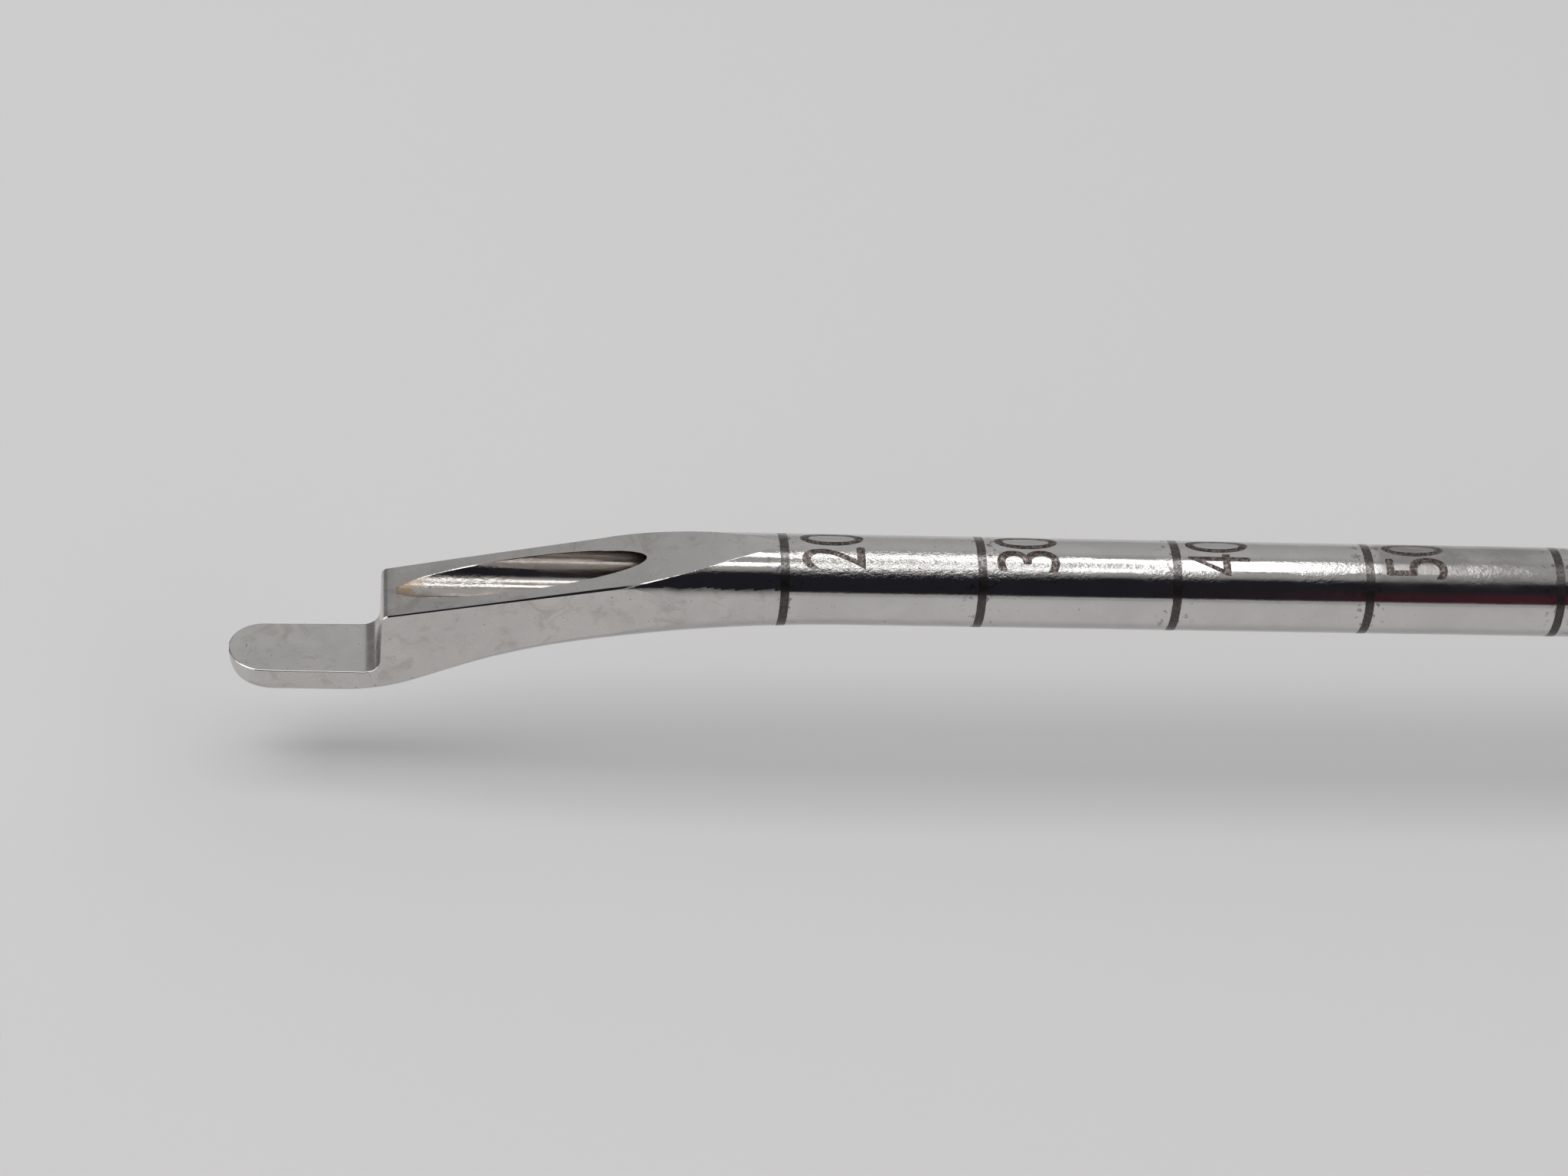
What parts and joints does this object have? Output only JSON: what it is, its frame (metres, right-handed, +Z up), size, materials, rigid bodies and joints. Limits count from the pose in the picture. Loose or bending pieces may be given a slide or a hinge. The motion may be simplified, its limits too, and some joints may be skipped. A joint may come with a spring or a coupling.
{
  "type": "offset drill guide",
  "caption": "Hooked steel guide shaft with a through bore and depth marks, held in a quick-release handle with a sprung collar and a thumb-screw pin clamp.",
  "frame": {"origin": "middle of the part's length, on the surface that the handle lies on, in the plane through the bore", "axes": "+X along the guide bore from the hooked tip to the rear bush, +Z up towards the clamp knob, +Y to the side of the sleeve nuts"},
  "size_m": [0.2967, 0.02, 0.035],
  "materials": {
    "shaft_steel": "polished stainless steel",
    "handle_steel": "satin stainless steel",
    "collar_steel": "bead-blasted stainless steel",
    "bright_steel": "polished steel",
    "spring_steel": "drawn spring wire",
    "grip_polymer": "fine moulded texture",
    "pad_polymer": "machined",
    "seal_rubber": "smooth"
  },
  "bodies": {
    "handle": {"guide_shaft": "shaft_steel", "shaft_hub": "handle_steel", "hub_key": "bright_steel", "hub_o_ring": "seal_rubber", "handle_core": "handle_steel", "grip_left": "grip_polymer", "grip_right": "grip_polymer", "grip_screws": "bright_steel", "grip_sleeve_nuts": "bright_steel", "collar_spring": "spring_steel", "retaining_ring": "spring_steel", "end_cap": "handle_steel", "cap_o_ring": "seal_rubber", "pin_bush": "bright_steel", "clamp_nut_bush": "bright_steel"},
    "collar": {"lock_collar": "collar_steel"},
    "ball_top": {"lock_ball_top": "bright_steel"},
    "ball_near": {"lock_ball_near": "bright_steel"},
    "ball_far": {"lock_ball_far": "bright_steel"},
    "pad": {"clamp_pad": "pad_polymer"},
    "knob": {"clamp_screw": "bright_steel", "clamp_knob": "collar_steel", "knob_cross_pin": "bright_steel"}
  },
  "joints": [
    {"name": "collar_slide", "type": "slide", "parent": "handle", "child": "collar", "axis": [1, 0, 0], "range_m": [0, 0.004], "stiffness_N_per_m": 1500, "springref_m": -0.003, "deforming": ["collar_spring"]},
    {"name": "ball_top_slide", "type": "slide", "parent": "handle", "child": "ball_top", "axis": [0, 0, 1], "range_m": [0, 0.0006]},
    {"name": "ball_near_slide", "type": "slide", "parent": "handle", "child": "ball_near", "axis": [0, -0.866, -0.5], "range_m": [0, 0.0006]},
    {"name": "ball_far_slide", "type": "slide", "parent": "handle", "child": "ball_far", "axis": [0, 0.866, -0.5], "range_m": [0, 0.0006]},
    {"name": "pad_slide", "type": "slide", "parent": "handle", "child": "pad", "axis": [0, 0, -1], "range_m": [0, 0.0014]},
    {"name": "knob_turn", "type": "hinge", "parent": "pad", "child": "knob", "pos_m": [0.12886, 0, 0.02], "axis": [0, 0, -1], "range_deg": [0, 720]}
  ],
  "couplings": [
    {"joint": "ball_top_slide", "follows": "collar_slide", "ratio": 0.15},
    {"joint": "ball_near_slide", "follows": "collar_slide", "ratio": 0.15},
    {"joint": "ball_far_slide", "follows": "collar_slide", "ratio": 0.15},
    {"joint": "pad_slide", "follows": "knob_turn", "m_per_rad": 0.00011141}
  ]
}
